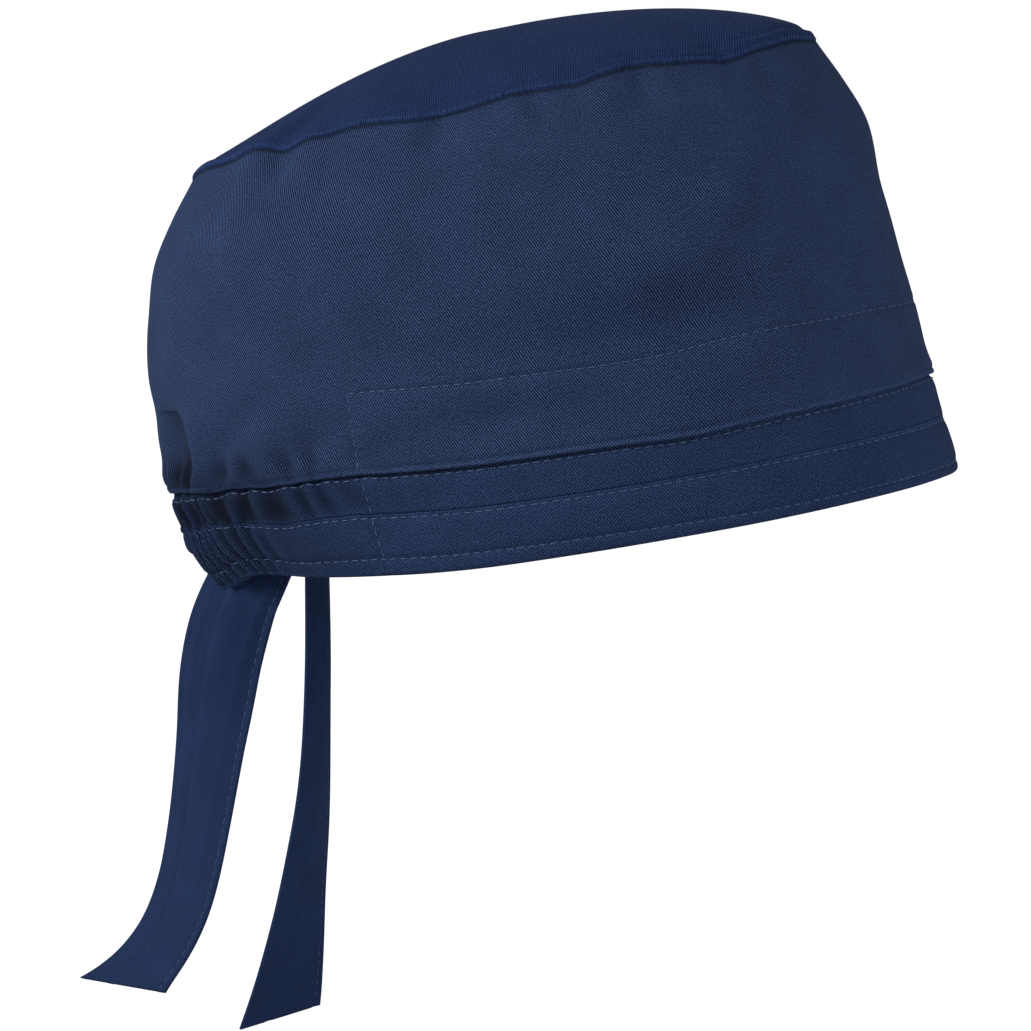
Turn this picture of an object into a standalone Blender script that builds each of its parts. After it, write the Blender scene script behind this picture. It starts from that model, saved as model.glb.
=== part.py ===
"""A tie-back scrub cap, at an adult head's size and in the shape that it has when it is worn.

X points to the brow, Y to the wearer's left and Z up. The origin is the middle of the head
opening, level with the hem's sides. The cap is worn with its brow raised, so its rings are laid
out in the cap's own upright frame and then tilted about Y. The ties hang straight down.
"""

import math
from collections import namedtuple

import bpy
import numpy as np

# Head opening and heights, measured on the cap's own upright frame
OPENING_LENGTH = 0.2110
OPENING_WIDTH = 0.1680
CHANNEL_HEIGHT = 0.0150
STRIP_HEIGHT = 0.0116
WALL_HEIGHT = 0.0950
DOME_RISE = 0.0225
WORN_TILT = math.radians(9.5)
RING_SQUARENESS = 2.15

# Cloth thicknesses and how the pieces lap and clear each other
TOP_CLOTH = 0.0013
WALL_CLOTH = 0.0012
STRIP_CLOTH = 0.0013
CHANNEL_CLOTH = 0.0026
SEAM_GAP = 0.0003
FOLD_LAP = 0.0020
FOLD_FADE = 0.0090
RIM_PROUD = 0.0007
CHANNEL_PROUD = 0.0004

# Depths that the tables of folds and gathers share out
FOLD_DEPTH = 0.0040
GATHER_DEPTH = 0.0016
SEAM_RIPPLE = 0.0020

# Ties: folded tapes that leave the channel at the back, one either side
RIGHT_TIE_LENGTH = 0.1150
LEFT_TIE_LENGTH = 0.1370
TIE_WIDTH = 0.0240
TIE_CLOTH = 0.0014
TIE_CREASE = 0.0012
TIE_APART = 0.0900
TIE_INSET = 0.0025
RIGHT_TIE_SLANT = math.radians(44)
LEFT_TIE_SLANT = math.radians(24)
MOUTH_DROP = 0.0066
MOUTH_SPREAD = math.radians(10.5)

# How finely the cloth is faceted
COLUMNS = 104
BACK_CROWDING = 0.58
STRIP_ROWS = 4
DOME_STEPS = 6
TIE_STEPS = 22
TIE_STRANDS = 4
HEM_SAMPLES = 13

# How soon a local shape dies away from where it starts: a larger power keeps it nearer
SEAM_FADE = 6
ROOT_FADE = 6
END_FADE = 8
CREASE_FADE = 0.5

# Rows of the wall's cloth between its folded foot and its top edge, as shares of that height
WALL_ROWS = (0.07, 0.16, 0.27, 0.40, 0.54, 0.68, 0.80, 0.90)

# One row for each level of the cap, from the hem up. rise is a share of the zone's own height.
# front and back are shares of half the opening's length, side of half its width, and the lifts,
# which raise a ring at its brow and its nape above its sides, are shares of the wall's height.
Section = namedtuple("Section", "name zone rise front side back front_lift back_lift")
SECTIONS = (
    Section("hem", "channel", 0.00, 1.010, 1.000, 0.985, 0.022, 0.112),
    Section("middle_stitch", "strip", 0.00, 0.993, 0.996, 1.040, 0.021, 0.020),
    Section("fold", "wall", 0.00, 0.982, 0.994, 1.080, 0.025, 0.040),
    Section("tuck", "wall", 0.11, 0.972, 0.991, 1.090, 0.019, 0.042),
    Section("brow_stitch", "wall", 0.23, 0.962, 0.987, 1.078, 0.014, 0.035),
    Section("lower_wall", "wall", 0.39, 0.950, 0.976, 1.074, 0.016, 0.000),
    Section("middle_wall", "wall", 0.58, 0.933, 0.958, 1.050, 0.021, -0.032),
    Section("upper_wall", "wall", 0.76, 0.919, 0.917, 1.010, 0.026, -0.053),
    Section("shoulder", "wall", 0.89, 0.864, 0.857, 0.940, 0.032, -0.063),
    Section("top_seam", "wall", 1.00, 0.815, 0.786, 0.870, 0.035, -0.066),
)

# How the dome's height falls off toward its rim at either end: a larger power falls off sooner
Slope = namedtuple("Slope", "front back")
DOME_SLOPE = Slope(0.70, 1.22)

# Dents and swellings of the wall, the same on both sides. turn is the way round from the brow to
# the nape in degrees, level a share of the wall's height over the fold, width in degrees, height
# a share of the wall's height, lean in degrees for a whole wall height, depth of FOLD_DEPTH.
Fold = namedtuple("Fold", "name turn level width height lean depth")
FOLDS = (
    Fold("nape_tuck", 155, 0.13, 7, 0.12, -20, -0.90),
    Fold("nape_tuck_lip", 143, 0.14, 6, 0.12, -30, 0.35),
    Fold("centre_back_tuck", 180, 0.08, 6, 0.08, 0, -0.25),
    Fold("rear_seam_dimple", 115, 0.87, 7, 0.10, 10, -0.50),
    Fold("middle_seam_dimple", 97, 0.94, 6, 0.07, 0, -0.40),
    Fold("front_seam_dimple", 52, 0.90, 8, 0.09, -15, -0.35),
    Fold("side_hollow", 72, 0.62, 24, 0.18, 20, -0.30),
    Fold("side_swell", 112, 0.50, 26, 0.25, 20, 0.25),
    Fold("brow_hollow", 28, 0.40, 16, 0.16, 0, -0.20),
)

# Runs of upright gathers toward the nape. level and height are shares of the whole band, hem to
# fold, reach is how far round from the nape they run, in degrees, and depth is of GATHER_DEPTH.
Gather = namedtuple("Gather", "name level height reach ribs depth")
GATHERS = (
    Gather("channel_bunch", 0.15, 0.42, 42, 26, 1.00),
    Gather("strip_folds", 0.75, 0.35, 66, 17, 0.75),
    Gather("wall_foot", 1.15, 0.30, 58, 13, 0.60),
)

# Where the top seam is drawn up or down by its stitches, on both sides. turn and width are in
# degrees as in the folds, and rise is a share of SEAM_RIPPLE.
Pucker = namedtuple("Pucker", "turn width rise")
PUCKERS = (
    Pucker(15, 8, 0.40),
    Pucker(38, 6, -0.80),
    Pucker(60, 9, 0.90),
    Pucker(81, 5, 0.30),
    Pucker(94, 8, -0.95),
    Pucker(121, 4, -1.00),
    Pucker(130, 5, 0.60),
    Pucker(150, 7, 0.35),
    Pucker(168, 6, -0.40),
)

# The channel's cross-section, from the hem up. share is of its height, and proud says how far its
# outer face stands out, as a share of CHANNEL_PROUD. The folded hem is rounder than the rest:
# its inner face starts at HEM_FOLD of the cloth's thickness.
Tuck = namedtuple("Tuck", "name share proud")
CHANNEL_PROFILE = (
    Tuck("hem_fold", 0.00, -0.35),
    Tuck("hem_stitch", 0.12, 0.00),
    Tuck("tunnel", 0.50, 1.00),
    Tuck("middle_stitch", 1.00, 0.00),
)
HEM_FOLD = 0.75

# A tie's course. run is a share of its length, swing its lean from straight down toward the
# nape, turn the way its face looks from sideways toward the nape, both in degrees, and width a
# share of TIE_WIDTH.
Bend = namedtuple("Bend", "run swing turn width")
RIGHT_TIE_COURSE = (
    Bend(0.00, 25, 12, 0.96),
    Bend(0.08, 18, 9, 1.00),
    Bend(0.20, 10, 10, 1.00),
    Bend(0.38, 8, 25, 1.00),
    Bend(0.54, 10, 38, 1.00),
    Bend(0.66, 14, 46, 1.00),
    Bend(0.76, 25, 48, 1.00),
    Bend(0.87, 37, 46, 1.00),
    Bend(1.00, 53, 42, 1.00),
)
LEFT_TIE_COURSE = (
    Bend(0.00, -2, -88, 0.90),
    Bend(0.25, 1, -88, 1.00),
    Bend(0.45, 4, -84, 1.00),
    Bend(0.60, 8, -77, 1.00),
    Bend(0.75, 9, -68, 1.00),
    Bend(0.88, 11, -55, 1.00),
    Bend(1.00, 15, -40, 1.00),
)

ZONE_FLOOR = {
    "channel": 0.0,
    "strip": CHANNEL_HEIGHT,
    "wall": CHANNEL_HEIGHT + STRIP_HEIGHT,
}
ZONE_HEIGHT = {"channel": CHANNEL_HEIGHT, "strip": STRIP_HEIGHT, "wall": WALL_HEIGHT}
FOLD_LEVEL = ZONE_FLOOR["wall"]
TOP_LEVEL = FOLD_LEVEL + WALL_HEIGHT


def clear_scene():
    """Remove everything that the scene starts with."""
    for obj in list(bpy.data.objects):
        bpy.data.objects.remove(obj, do_unlink=True)


def cloth_material(name, colour, roughness):
    """A matt woven cloth in one colour."""
    material = bpy.data.materials.new(name)
    material.use_nodes = True
    shader = material.node_tree.nodes["Principled BSDF"]
    shader.inputs["Base Color"].default_value = (*colour, 1.0)
    shader.inputs["Roughness"].default_value = roughness
    shader.inputs["Metallic"].default_value = 0.0
    return material


def smooth_curve(knots, values, at):
    """A smooth curve through (knot, value) pairs: cubic pieces whose slopes are the local averages."""
    knots = np.asarray(knots, float)
    values = np.asarray(values, float)
    at = np.clip(at, knots[0], knots[-1])
    slopes = np.gradient(values, knots)
    piece = np.clip(np.searchsorted(knots, at, side="right") - 1, 0, len(knots) - 2)
    step = knots[piece + 1] - knots[piece]
    t = (at - knots[piece]) / step
    return (
        (2 * t**3 - 3 * t**2 + 1) * values[piece]
        + (t**3 - 2 * t**2 + t) * step * slopes[piece]
        + (3 * t**2 - 2 * t**3) * values[piece + 1]
        + (t**3 - t**2) * step * slopes[piece + 1]
    )


def column_angles():
    """The way round to each column, crowded toward the nape, where the gathers are."""
    even = np.linspace(0.0, 2 * math.pi, COLUMNS, endpoint=False)
    return even + BACK_CROWDING * np.sin(even)


def from_nape(angle):
    """How far round a column is from the nape, in radians, on either side."""
    return np.abs(np.mod(angle, 2 * math.pi) - math.pi)


def mouth_turn():
    """How far round from the nape each tie leaves the channel."""
    return math.asin(min(0.95, (TIE_APART / OPENING_WIDTH) ** (RING_SQUARENESS / 2)))


def relief(angle, level):
    """How far the cloth stands out of its smooth ring, from the tables of folds and gathers."""
    nape = from_nape(angle)
    turn = 180 - np.degrees(nape)
    wall_share = (level - FOLD_LEVEL) / WALL_HEIGHT
    band_share = level / FOLD_LEVEL
    out = np.zeros(np.broadcast(angle, level).shape)
    for fold in FOLDS:
        up = (wall_share - fold.level) / fold.height
        round_ = (turn - fold.turn - fold.lean * (wall_share - fold.level)) / fold.width
        out = out + FOLD_DEPTH * fold.depth * np.exp(-(up**2) - round_**2)
    for gather in GATHERS:
        up = (band_share - gather.level) / gather.height
        round_ = np.clip(np.degrees(nape) / gather.reach, 0, 1)
        fade = np.exp(-(up**2)) * np.cos(round_ * math.pi / 2) ** 0.7
        phase = gather.ribs * nape + 0.8 * np.sin(5 * nape + gather.ribs)
        out = out + GATHER_DEPTH * gather.depth * fade * np.cos(phase)
    return out


def seam_ripple(angle, level):
    """How far the top seam rises and dips where its stitches draw the cloth up."""
    near_seam = np.clip((level - FOLD_LEVEL) / WALL_HEIGHT, 0, 1) ** SEAM_FADE
    turn = 180 - np.degrees(from_nape(angle))
    wave = sum(p.rise * np.exp(-(((turn - p.turn) / p.width) ** 2)) for p in PUCKERS)
    return SEAM_RIPPLE * near_seam * wave


def mouth_droop(angle, level):
    """How far the hem sags where a tie leaves the channel."""
    off = (from_nape(angle) - mouth_turn()) / MOUTH_SPREAD
    return MOUTH_DROP * np.exp(-(off**2)) * np.clip(1 - level / FOLD_LEVEL, 0, 1)


def cap_point(angle, level, out=0.0, detail=1.0):
    """Points of the cap's outer face, upright: a squared oval at each level, lifted at brow and nape.

    angle and level are arrays of one shape, out moves the points off the face, and detail is the
    share of the folds, gathers and puckers that they take."""
    knots = [ZONE_FLOOR[s.zone] + s.rise * ZONE_HEIGHT[s.zone] for s in SECTIONS]
    column = {
        name: smooth_curve(knots, [getattr(s, name) for s in SECTIONS], level)
        for name in ("front", "side", "back", "front_lift", "back_lift")
    }
    cosine, sine = np.cos(angle), np.sin(angle)
    power = 2 / RING_SQUARENESS
    along = np.sign(cosine) * np.abs(cosine) ** power
    across = np.sign(sine) * np.abs(sine) ** power
    ahead = cosine >= 0
    reach = np.where(ahead, column["front"], column["back"]) * OPENING_LENGTH / 2
    breadth = column["side"] * OPENING_WIDTH / 2
    lift = np.where(ahead, column["front_lift"], column["back_lift"]) * WALL_HEIGHT
    facing = np.stack(
        [
            np.sign(along) * np.abs(along) ** (RING_SQUARENESS - 1) / reach,
            np.sign(across) * np.abs(across) ** (RING_SQUARENESS - 1) / breadth,
        ],
        axis=-1,
    )
    facing /= np.linalg.norm(facing, axis=-1, keepdims=True)
    push = detail * relief(angle, level) + out
    height = level + lift * along**2 - mouth_droop(angle, level)
    height = height + detail * seam_ripple(angle, level)
    return np.stack(
        [
            reach * along + push * facing[..., 0],
            breadth * across + push * facing[..., 1],
            height,
        ],
        axis=-1,
    )


def round_grid(levels, out):
    """A grid of cap points, a row for each level and a column for each way round."""
    levels = np.asarray(levels, float)[:, None]
    out = np.asarray(out, float)[:, None]
    angles = column_angles()[None, :]
    shape = (levels.shape[0], angles.shape[1])
    return cap_point(
        np.broadcast_to(angles, shape), np.broadcast_to(levels, shape), np.broadcast_to(out, shape)
    )


def grid_normals(grid):
    """Outward directions of a grid that runs round the cap in its columns and up in its rows."""
    round_ = np.roll(grid, -1, axis=1) - np.roll(grid, 1, axis=1)
    up = np.gradient(grid, axis=0)
    normals = np.cross(round_, up)
    return normals / np.linalg.norm(normals, axis=-1, keepdims=True)


def tilted(points):
    """Upright cap points, tilted back as the cap is worn."""
    turned = points.copy()
    turned[..., 0] = points[..., 0] * math.cos(WORN_TILT) - points[..., 2] * math.sin(WORN_TILT)
    turned[..., 2] = points[..., 0] * math.sin(WORN_TILT) + points[..., 2] * math.cos(WORN_TILT)
    return turned


def ring_quads(rows, columns, closed):
    """Faces of a grid of rows whose columns run all the way round, as corner numbers."""
    row = np.arange(rows if closed else rows - 1)[:, None]
    column = np.arange(columns)[None, :]
    above = (row + 1) % rows
    beside = (column + 1) % columns
    corners = [
        row * columns + column,
        row * columns + beside,
        above * columns + beside,
        above * columns + column,
    ]
    return np.stack(np.broadcast_arrays(*corners), axis=-1).reshape(-1, 4)


def mesh_object(name, points, faces, material):
    """One object from an array of points and a list of faces, shaded smooth but for its edges."""
    mesh = bpy.data.meshes.new(name)
    mesh.from_pydata(points.reshape(-1, 3).tolist(), [], [list(map(int, face)) for face in faces])
    mesh.validate()
    mesh.shade_smooth()
    mesh.set_sharp_from_angle(angle=math.radians(50))
    mesh.materials.append(material)
    obj = bpy.data.objects.new(name, mesh)
    bpy.context.scene.collection.objects.link(obj)
    return obj


def shell_loop(name, outer, inner, material):
    """A round of cloth: its outer rows going up and its inner rows coming down, closed in a loop."""
    loop = np.concatenate([outer, inner[::-1]], axis=0)
    faces = ring_quads(loop.shape[0], loop.shape[1], closed=True)
    return mesh_object(name, tilted(loop), faces, material)


def make_side_wall(material):
    """The wall: from the top seam down to its folded edge, which hangs over the strip below."""
    foot = FOLD_LEVEL - FOLD_LAP
    clear = FOLD_LEVEL + 2 * SEAM_GAP + WALL_CLOTH
    top = TOP_LEVEL - SEAM_GAP
    levels = np.concatenate([[foot, clear], clear + np.array(WALL_ROWS) * (top - clear), [top]])
    away = np.clip((levels - clear) / FOLD_FADE, 0, 1)
    out = (WALL_CLOTH + SEAM_GAP) * (1 - away) ** 2
    outer = round_grid(levels, out)
    inner = outer - WALL_CLOTH * grid_normals(outer)
    return shell_loop("side_wall", outer, inner, material)


def make_crown_top(material):
    """The top panel: a shallow dome over the top seam, its rim standing a little proud of it."""
    angles = column_angles()
    level = np.full(COLUMNS, TOP_LEVEL)
    rim = cap_point(angles, level, out=RIM_PROUD, detail=0.0)
    puckers = cap_point(angles, level, out=RIM_PROUD) - rim
    shares = np.sin(np.linspace(1.0, 0.0, DOME_STEPS + 1)[:-1] * math.pi / 2)
    ahead = 0.5 + 0.5 * np.cos(angles)
    slope = DOME_SLOPE.back + (DOME_SLOPE.front - DOME_SLOPE.back) * ahead
    ends = rim[[np.argmax(rim[:, 0]), np.argmin(rim[:, 0])]]
    middle = ends.mean(axis=0)

    def dome():
        rows = []
        for share in shares:
            row = middle + share * (rim - middle) + share**SEAM_FADE * puckers
            row[:, 2] += TOP_CLOTH + (DOME_RISE - TOP_CLOTH) * (1 - share**2) ** slope
            rows.append(row)
        return np.stack(rows)

    outer = dome()
    inner = outer - [0, 0, TOP_CLOTH]
    inner[0] = rim + puckers
    outer_tip = middle + [0, 0, DOME_RISE]
    inner_tip = middle + [0, 0, DOME_RISE - TOP_CLOTH]
    rows = len(shares)
    points = np.concatenate([inner[::-1].reshape(-1, 3), outer.reshape(-1, 3), [inner_tip], [outer_tip]])
    faces = ring_quads(2 * rows, COLUMNS, closed=False).tolist()
    last = (2 * rows - 1) * COLUMNS
    for column in range(COLUMNS):
        beside = (column + 1) % COLUMNS
        faces.append([beside, column, 2 * rows * COLUMNS])
        faces.append([last + column, last + beside, 2 * rows * COLUMNS + 1])
    return mesh_object("crown_top", tilted(points), faces, material)


def make_band_strip(material):
    """The upper strip of the band, tucked under the wall's folded edge."""
    foot = CHANNEL_HEIGHT + SEAM_GAP
    levels = np.linspace(foot, FOLD_LEVEL, STRIP_ROWS)
    outer = round_grid(levels, np.zeros(STRIP_ROWS))
    inner = round_grid(levels, np.full(STRIP_ROWS, -STRIP_CLOTH))
    return shell_loop("band_strip", outer, inner, material)


def make_tie_channel(material):
    """The lower strip: a tunnel of folded cloth, round at the hem, that holds the ties."""
    levels = CHANNEL_HEIGHT * np.array([tuck.share for tuck in CHANNEL_PROFILE])
    proud = CHANNEL_PROUD * np.array([tuck.proud for tuck in CHANNEL_PROFILE])
    outer = round_grid(levels, proud)
    inner = round_grid(levels, proud - CHANNEL_CLOTH)
    inner[0] = outer[0] + HEM_FOLD * (inner[0] - outer[0])
    return shell_loop("tie_channel", outer, inner, material)


def tie_root(side):
    """Where a tie leaves the channel: the middle of its top edge, and the hem's lowest level there."""
    angle = math.pi - side * mouth_turn()
    root = tilted(cap_point(np.array([angle]), np.array([0.0]), out=-TIE_INSET))[0]
    nearby = angle + np.linspace(-1.0, 1.0, HEM_SAMPLES) * math.atan2(TIE_WIDTH, OPENING_WIDTH)
    level = np.zeros(HEM_SAMPLES)
    hem = [tilted(cap_point(nearby, level, out=out)) for out in (0.0, -CHANNEL_CLOTH)]
    return root, np.concatenate(hem)[:, 2].min()


def make_tie(name, side, length, end_slant, course, material):
    """A tape that hangs from its root: its middle line is summed from the swings in its course,
    its face turns about that line, and a soft crease runs along it."""
    runs = [bend.run for bend in course]
    share = np.linspace(0.0, 1.0, TIE_STEPS + 1)
    swing = np.radians(smooth_curve(runs, [bend.swing for bend in course], share))
    turn = np.radians(smooth_curve(runs, [bend.turn for bend in course], share))
    width = TIE_WIDTH * smooth_curve(runs, [bend.width for bend in course], share)
    down = np.stack([-np.sin(swing), np.zeros_like(swing), -np.cos(swing)], axis=-1)
    steps = 0.5 * (down[1:] + down[:-1]) * length / TIE_STEPS
    root, hem_level = tie_root(side)
    middle = root + np.concatenate([np.zeros((1, 3)), np.cumsum(steps, axis=0)])
    face = np.stack([-np.sin(turn), -np.cos(turn), np.zeros_like(turn)], axis=-1)
    across = np.cross(down, face)
    across /= np.linalg.norm(across, axis=-1, keepdims=True)
    face = np.cross(across, down)
    strand = np.linspace(-0.5, 0.5, TIE_STRANDS + 1)
    rise = np.sin(math.pi * share[:, None] ** CREASE_FADE)
    crease = TIE_CREASE * np.cos(2 * math.pi * strand) * rise
    level = (
        middle[:, None]
        + across[:, None] * (width[:, None] * strand[None, :])[..., None]
        + face[:, None] * crease[..., None]
    )
    slant = math.tan(end_slant) * width[:, None] * strand[None, :] * share[:, None] ** END_FADE
    level += down[:, None] * slant[..., None]
    level[..., 2] += (level[0, :, 2].max() - level[0, :, 2]) * (1 - share[:, None]) ** ROOT_FADE
    level[..., 2] += hem_level - SEAM_GAP - level[0, :, 2].max()
    front = level + 0.5 * TIE_CLOTH * face[:, None]
    rear = level - 0.5 * TIE_CLOTH * face[:, None]
    loops = np.concatenate([front, rear[:, ::-1]], axis=1)
    rows, columns = loops.shape[:2]
    faces = ring_quads(rows, columns, closed=False).tolist()
    for strand_number in range(TIE_STRANDS):
        near = [strand_number, strand_number + 1, columns - 2 - strand_number, columns - 1 - strand_number]
        faces.append(near[::-1])
        faces.append([(rows - 1) * columns + corner for corner in near])
    return mesh_object(name, loops, faces, material)


def main():
    clear_scene()
    wall_cloth = cloth_material("wall_twill", (0.028, 0.048, 0.105), 0.85)
    top_cloth = cloth_material("top_twill", (0.020, 0.034, 0.080), 0.85)
    band_cloth = cloth_material("band_twill", (0.022, 0.040, 0.095), 0.85)
    tie_cloth = cloth_material("tie_twill", (0.018, 0.032, 0.080), 0.85)
    make_crown_top(top_cloth)
    make_side_wall(wall_cloth)
    make_band_strip(band_cloth)
    make_tie_channel(band_cloth)
    make_tie("tie_right", -1, RIGHT_TIE_LENGTH, RIGHT_TIE_SLANT, RIGHT_TIE_COURSE, tie_cloth)
    make_tie("tie_left", 1, LEFT_TIE_LENGTH, LEFT_TIE_SLANT, LEFT_TIE_COURSE, tie_cloth)


main()
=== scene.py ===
"""The looks of a tie-back scrub cap in navy twill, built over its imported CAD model.

X points to the brow, Y to the wearer's left and Z up. Every piece is a surface worked out from its
own sizes, on a fine grid, in the same tilted frame as the CAD model.
"""

import math
from collections import namedtuple

import bpy
import numpy as np
from mathutils import Matrix, Vector


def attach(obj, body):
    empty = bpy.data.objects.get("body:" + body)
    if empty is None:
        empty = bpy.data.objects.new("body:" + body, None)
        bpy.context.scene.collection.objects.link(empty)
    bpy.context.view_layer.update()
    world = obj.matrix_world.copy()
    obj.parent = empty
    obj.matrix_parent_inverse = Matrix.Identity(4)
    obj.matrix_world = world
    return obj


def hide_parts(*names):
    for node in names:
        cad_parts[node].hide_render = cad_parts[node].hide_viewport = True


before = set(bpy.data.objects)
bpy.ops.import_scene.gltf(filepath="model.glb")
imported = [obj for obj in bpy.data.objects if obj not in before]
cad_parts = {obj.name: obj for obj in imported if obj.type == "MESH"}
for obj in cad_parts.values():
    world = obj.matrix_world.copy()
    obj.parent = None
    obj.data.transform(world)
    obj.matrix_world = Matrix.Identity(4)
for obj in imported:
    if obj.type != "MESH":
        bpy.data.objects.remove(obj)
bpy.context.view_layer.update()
scene = bpy.context.scene

# Camera
# A long lens level with the cap's top rim, on the wearer's right and a little ahead. The brow
# points to the right of the picture.
CAMERA_TURN = math.radians(12)
CAMERA_HEIGHT = math.radians(5)
CAMERA_DISTANCE = 1.3
CAMERA_VIEW_WIDTH = 0.28868
CAMERA_SIDE_SHIFT = -0.01862
CAMERA_UP_SHIFT = 0.00518
SENSOR_WIDTH = 36.0

to_right = Vector((math.cos(CAMERA_TURN), math.sin(CAMERA_TURN), 0))
to_front = Vector((-math.sin(CAMERA_TURN), math.cos(CAMERA_TURN), 0))
looking = to_front * math.cos(CAMERA_HEIGHT) - Vector((0, 0, math.sin(CAMERA_HEIGHT)))
to_top = to_right.cross(looking)
aim = CAMERA_SIDE_SHIFT * to_right + CAMERA_UP_SHIFT * to_top
camera_data = bpy.data.cameras.new("camera")
camera_data.sensor_width = SENSOR_WIDTH
camera_data.lens = SENSOR_WIDTH * CAMERA_DISTANCE / CAMERA_VIEW_WIDTH
camera = bpy.data.objects.new("camera", camera_data)
camera.matrix_world = Matrix.Translation(aim - CAMERA_DISTANCE * looking) @ Matrix(
    (to_right, to_top, -looking)
).transposed().to_4x4()
scene.collection.objects.link(camera)
scene.camera = camera

# Studio
# A plain white floor well below the ties, a pale surround that is dimmer overhead, a large soft
# light on the camera's left and a weaker one on its right. None of it is part of the cap.
FLOOR_LEVEL = -0.32
FLOOR_SIZE = 90.0
FLOOR_GLOW = 1.1
FLOOR_PAINT = (0.55, 0.55, 0.55, 1)
SKY_LOW = 0.26
SKY_HIGH = 0.07
SKY_SPAN = (0.2, 0.9)
KEY_SIZE = 0.9
KEY_POWER = 24.0
KEY_PLACE = (-1.2, -0.9, 0.85)
FILL_SIZE = 0.7
FILL_POWER = 8.5
FILL_PLACE = (1.35, -0.55, 0.35)
LIGHT_AIM = Vector((0.0, 0.0, 0.05))


def add_node(tree, kind, inputs=None, **settings):
    """Adds a shader node with its settings, and fills its inputs with values or other outputs."""
    made = tree.nodes.new(kind)
    for name, value in settings.items():
        setattr(made, name, value)
    for key, value in (inputs or {}).items():
        if isinstance(value, bpy.types.NodeSocket):
            tree.links.new(value, made.inputs[key])
        else:
            made.inputs[key].default_value = value
    return made


def area_light(name, place, size, power):
    """A square soft light at a place, turned to face the cap."""
    data = bpy.data.lights.new(name, "AREA")
    data.shape = "SQUARE"
    data.size = size
    data.energy = power
    light = bpy.data.objects.new(name, data)
    light.location = place
    light.rotation_euler = (LIGHT_AIM - Vector(place)).to_track_quat("-Z", "Y").to_euler()
    scene.collection.objects.link(light)


def make_floor():
    """A flat square floor of pale paint, which the camera sees as evenly white as a lit sweep."""
    half = FLOOR_SIZE / 2
    corners = [(-half, -half, FLOOR_LEVEL), (half, -half, FLOOR_LEVEL)]
    corners += [(half, half, FLOOR_LEVEL), (-half, half, FLOOR_LEVEL)]
    mesh = bpy.data.meshes.new("floor")
    mesh.from_pydata(corners, [], [(0, 1, 2, 3)])
    material = bpy.data.materials.new("floor_paint")
    material.use_nodes = True
    tree = material.node_tree
    tree.nodes.clear()
    seen = add_node(tree, "ShaderNodeLightPath").outputs["Is Camera Ray"]
    paint = add_node(tree, "ShaderNodeBsdfDiffuse", {"Color": FLOOR_PAINT})
    glow = add_node(tree, "ShaderNodeEmission", {"Color": (1, 1, 1, 1), "Strength": FLOOR_GLOW})
    mixed = add_node(tree, "ShaderNodeMixShader", {0: seen, 1: paint.outputs[0], 2: glow.outputs[0]})
    add_node(tree, "ShaderNodeOutputMaterial", {0: mixed.outputs[0]})
    mesh.materials.append(material)
    floor = bpy.data.objects.new("floor", mesh)
    scene.collection.objects.link(floor)


def make_sky():
    """A white surround to the camera. As light it is dimmer, and falls off with a ray's height."""
    world = bpy.data.worlds.new("sky")
    world.use_nodes = True
    scene.world = world
    tree = world.node_tree
    tree.nodes.clear()
    place = add_node(tree, "ShaderNodeTexCoord").outputs["Generated"]
    height = add_node(tree, "ShaderNodeSeparateXYZ", {0: place}).outputs["Z"]
    span = {"From Min": SKY_SPAN[0], "From Max": SKY_SPAN[1], "To Min": SKY_LOW, "To Max": SKY_HIGH}
    dim = add_node(tree, "ShaderNodeMapRange", {"Value": height, **span}).outputs[0]
    seen = add_node(tree, "ShaderNodeLightPath").outputs["Is Camera Ray"]
    strength = add_node(tree, "ShaderNodeMath", {0: dim, 1: seen}, operation="MAXIMUM")
    sky = add_node(tree, "ShaderNodeBackground", {"Color": (1, 1, 1, 1), "Strength": strength.outputs[0]})
    add_node(tree, "ShaderNodeOutputWorld", {0: sky.outputs[0]})


make_floor()
make_sky()
area_light("key_light", KEY_PLACE, KEY_SIZE, KEY_POWER)
area_light("fill_light", FILL_PLACE, FILL_SIZE, FILL_POWER)
scene.view_settings.view_transform = "Standard"
scene.view_settings.look = "None"

# Side wall
# The tall wall of the cap: one length of matt navy twill, sewn to the top panel above, folded
# under along its foot, and let hang full over the band at the nape. The sizes are the CAD model's,
# but for the narrower droop of the ties' mouths.
OPENING_LENGTH = 0.2110
OPENING_WIDTH = 0.1680
CHANNEL_HEIGHT = 0.0150
STRIP_HEIGHT = 0.0116
WALL_HEIGHT = 0.0950
WORN_TILT = math.radians(9.5)
RING_SQUARENESS = 2.15
MEAN_REACH = OPENING_LENGTH * 0.44
WALL_CLOTH = 0.0012
SEAM_GAP = 0.0003
FOLD_LAP = 0.0020
FOLD_FADE = 0.0090
FOLD_DEPTH = 0.0040
GATHER_DEPTH = 0.0016
SEAM_RIPPLE = 0.0020
SEAM_FADE = 6
TIE_APART = 0.0900
MOUTH_DROP = 0.0066
MOUTH_SPREAD = math.radians(9.5)
MOUTH_SHIFT = math.radians(3)
COLUMNS = 600
BACK_CROWDING = 0.58
FOLD_LEVEL = CHANNEL_HEIGHT + STRIP_HEIGHT
TOP_LEVEL = FOLD_LEVEL + WALL_HEIGHT
ZONE_FLOOR = {"channel": 0.0, "strip": CHANNEL_HEIGHT, "wall": FOLD_LEVEL}
ZONE_HEIGHT = {"channel": CHANNEL_HEIGHT, "strip": STRIP_HEIGHT, "wall": WALL_HEIGHT}

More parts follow.
